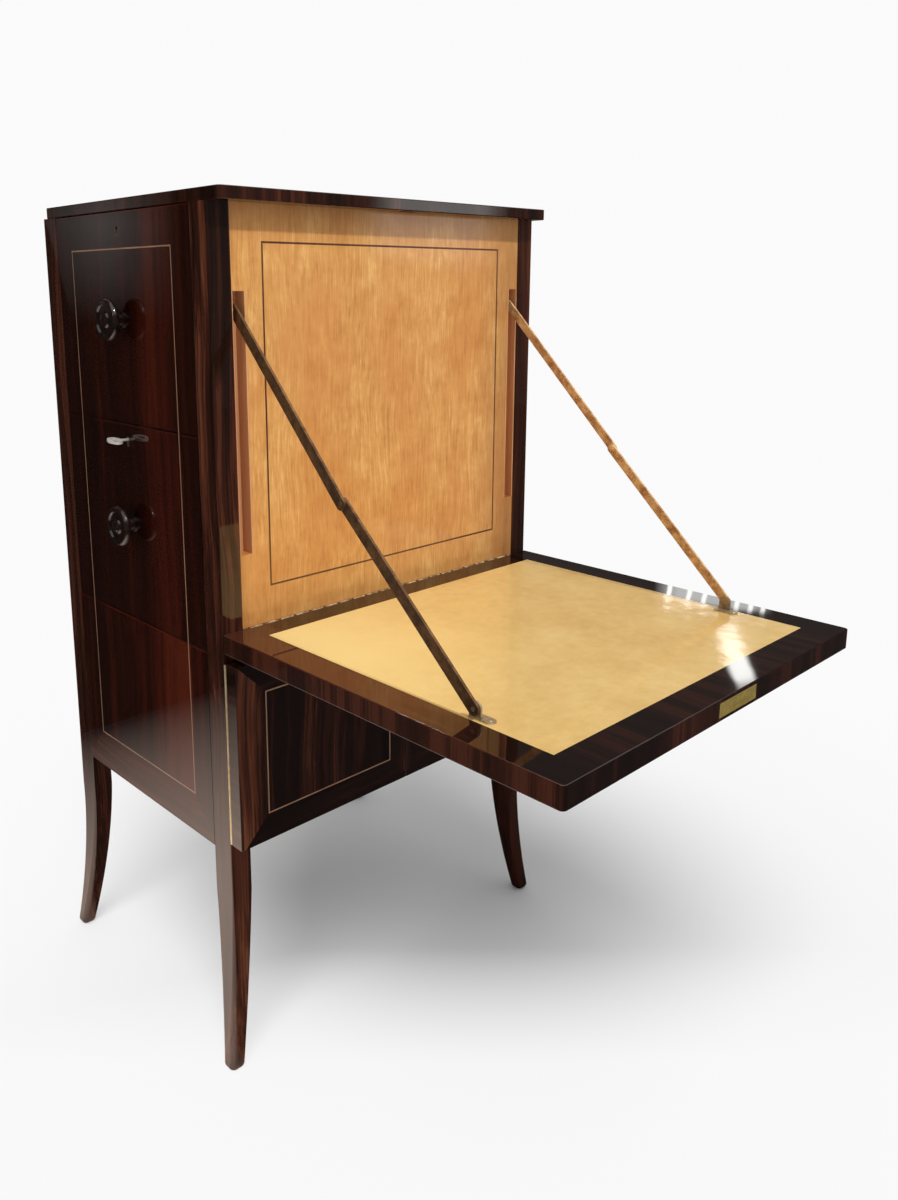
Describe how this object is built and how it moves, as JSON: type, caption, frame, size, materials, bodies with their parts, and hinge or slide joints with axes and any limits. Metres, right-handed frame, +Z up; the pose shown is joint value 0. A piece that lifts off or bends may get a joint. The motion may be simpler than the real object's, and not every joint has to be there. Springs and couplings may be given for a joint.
{
  "type": "drop-front writing desk",
  "caption": "Tall veneered secretaire on sabre legs: a flap on folding stays lowers to a parchment writing surface, deep drawers open at the side, doors close the cupboard below.",
  "frame": {"origin": "on the floor under the middle of the whole desk's box, with the flap open", "axes": "+Z up, +X to the right along the front, -Y to the front, where the flap opens"},
  "size_m": [0.7586, 1.1509, 1.375],
  "materials": {
    "macassar": "polished veneer",
    "maple": "polished veneer",
    "slot_wood": "satin",
    "inner_wood": "waxed",
    "boxwood": "polished",
    "dark_string": "polished",
    "parchment": "glazed",
    "ebony": "polished",
    "brass": "worn",
    "lock_steel": "brushed",
    "key_metal": "polished"
  },
  "bodies": {
    "carcass": {"top_board": "macassar", "front_left_leg": "macassar", "front_right_leg": "macassar", "rear_left_leg": "macassar", "rear_right_leg": "macassar", "right_side_panel": "macassar", "left_lower_panel": "macassar", "back_panel": "inner_wood", "bottom_board": "macassar", "front_rail": "macassar", "deck": "inner_wood", "drawer_divider": "inner_wood", "interior_panel": "maple", "slot_fillers": "maple", "slot_linings": "slot_wood", "drawer_guides": "inner_wood", "interior_string": "dark_string", "left_panel_string": "boxwood", "right_panel_string": "boxwood", "stay_pivot_pins": "brass", "fall_hinge_fixed_leaf": "brass", "fall_hinge_pin": "brass", "left_door_hinge_fixed_leaf": "brass", "right_door_hinge_fixed_leaf": "brass", "door_hinge_pins": "brass"},
    "fall": {"fall_panel": "macassar", "writing_surface": "parchment", "fall_string": "boxwood", "fall_lock": "brass", "fall_keyhole_thread": "brass", "stay_brackets": "brass", "fall_hinge_moving_leaf": "brass"},
    "right_upper_stay": {"right_upper_link": "brass"},
    "left_upper_stay": {"left_upper_link": "brass"},
    "right_lower_stay": {"right_lower_link": "brass"},
    "left_lower_stay": {"left_lower_link": "brass"},
    "left_door": {"left_door_panel": "macassar", "left_door_string": "boxwood", "door_lock": "lock_steel", "left_door_hinge_moving_leaf": "brass"},
    "right_door": {"right_door_panel": "macassar", "right_door_string": "boxwood", "right_door_hinge_moving_leaf": "brass"},
    "fall_bolt": {"fall_lock_bolt": "lock_steel"},
    "door_bolt": {"door_lock_bolt": "lock_steel"},
    "key": {"key": "key_metal"},
    "upper_drawer": {"upper_drawer_front": "macassar", "upper_drawer_tray": "inner_wood", "upper_drawer_string": "boxwood", "upper_drawer_knob": "ebony", "upper_drawer_lock": "lock_steel", "upper_keyhole_thread": "brass"},
    "upper_bolt": {"upper_drawer_bolt": "lock_steel"},
    "lower_drawer": {"lower_drawer_front": "macassar", "lower_drawer_tray": "inner_wood", "lower_drawer_string": "boxwood", "lower_drawer_knob": "ebony", "lower_drawer_lock": "lock_steel", "lower_keyhole_thread": "brass"},
    "lower_bolt": {"lower_drawer_bolt": "lock_steel"}
  },
  "joints": [
    {"name": "fall_hinge", "type": "hinge", "parent": "carcass", "child": "fall", "pos_m": [0.0045, 0.04535, 0.7338], "axis": [-1, 0, 0], "range_deg": [0, 90]},
    {"name": "right_upper_pivot", "type": "hinge", "parent": "carcass", "child": "right_upper_stay", "pos_m": [0.3073, 0.06085, 1.2088], "axis": [-1, 0, 0], "range_deg": [-45.9, 0]},
    {"name": "right_lower_pivot", "type": "hinge", "parent": "fall", "child": "right_lower_stay", "pos_m": [0.3029, -0.40467, 0.7493], "axis": [-1, 0, 0], "range_deg": [0, 45.1]},
    {"name": "left_upper_pivot", "type": "hinge", "parent": "carcass", "child": "left_upper_stay", "pos_m": [-0.2983, 0.06085, 1.2088], "axis": [-1, 0, 0], "range_deg": [-44.2, 0]},
    {"name": "left_lower_pivot", "type": "hinge", "parent": "fall", "child": "left_lower_stay", "pos_m": [-0.2939, -0.40467, 0.7493], "axis": [-1, 0, 0], "range_deg": [0, 43.3]},
    {"name": "left_door_hinge", "type": "hinge", "parent": "carcass", "child": "left_door", "pos_m": [-0.3445, 0.04535, 0.5405], "axis": [0, 0, -1], "range_deg": [0, 110]},
    {"name": "right_door_hinge", "type": "hinge", "parent": "carcass", "child": "right_door", "pos_m": [0.3535, 0.04535, 0.5405], "axis": [0, 0, 1], "range_deg": [0, 110]},
    {"name": "fall_bolt_slide", "type": "slide", "parent": "fall", "child": "fall_bolt", "axis": [0, -1, 0], "range_m": [0, 0.008]},
    {"name": "door_bolt_slide", "type": "slide", "parent": "left_door", "child": "door_bolt", "axis": [1, 0, 0], "range_m": [0, 0.006]},
    {"name": "upper_drawer_slide", "type": "slide", "parent": "carcass", "child": "upper_drawer", "axis": [-1, 0, 0], "range_m": [0, 0.45]},
    {"name": "lower_drawer_slide", "type": "slide", "parent": "carcass", "child": "lower_drawer", "axis": [-1, 0, 0], "range_m": [0, 0.45]},
    {"name": "upper_bolt_slide", "type": "slide", "parent": "upper_drawer", "child": "upper_bolt", "axis": [0, 0, 1], "range_m": [0, 0.006]},
    {"name": "lower_bolt_slide", "type": "slide", "parent": "lower_drawer", "child": "lower_bolt", "axis": [0, 0, 1], "range_m": [0, 0.006]},
    {"name": "key_turn", "type": "hinge", "parent": "lower_drawer", "child": "key", "pos_m": [-0.3455, 0.30305, 1.00025], "axis": [1, 0, 0], "range_deg": [0, 180]}
  ],
  "couplings": [
    {"joint": "right_upper_pivot", "follows": "fall_hinge", "ratio": -0.49852},
    {"joint": "right_lower_pivot", "follows": "fall_hinge", "ratio": 0.48979},
    {"joint": "left_upper_pivot", "follows": "fall_hinge", "ratio": -0.47979},
    {"joint": "left_lower_pivot", "follows": "fall_hinge", "ratio": 0.46958},
    {"joint": "lower_bolt_slide", "follows": "key_turn", "m_per_rad": 0.001909}
  ]
}
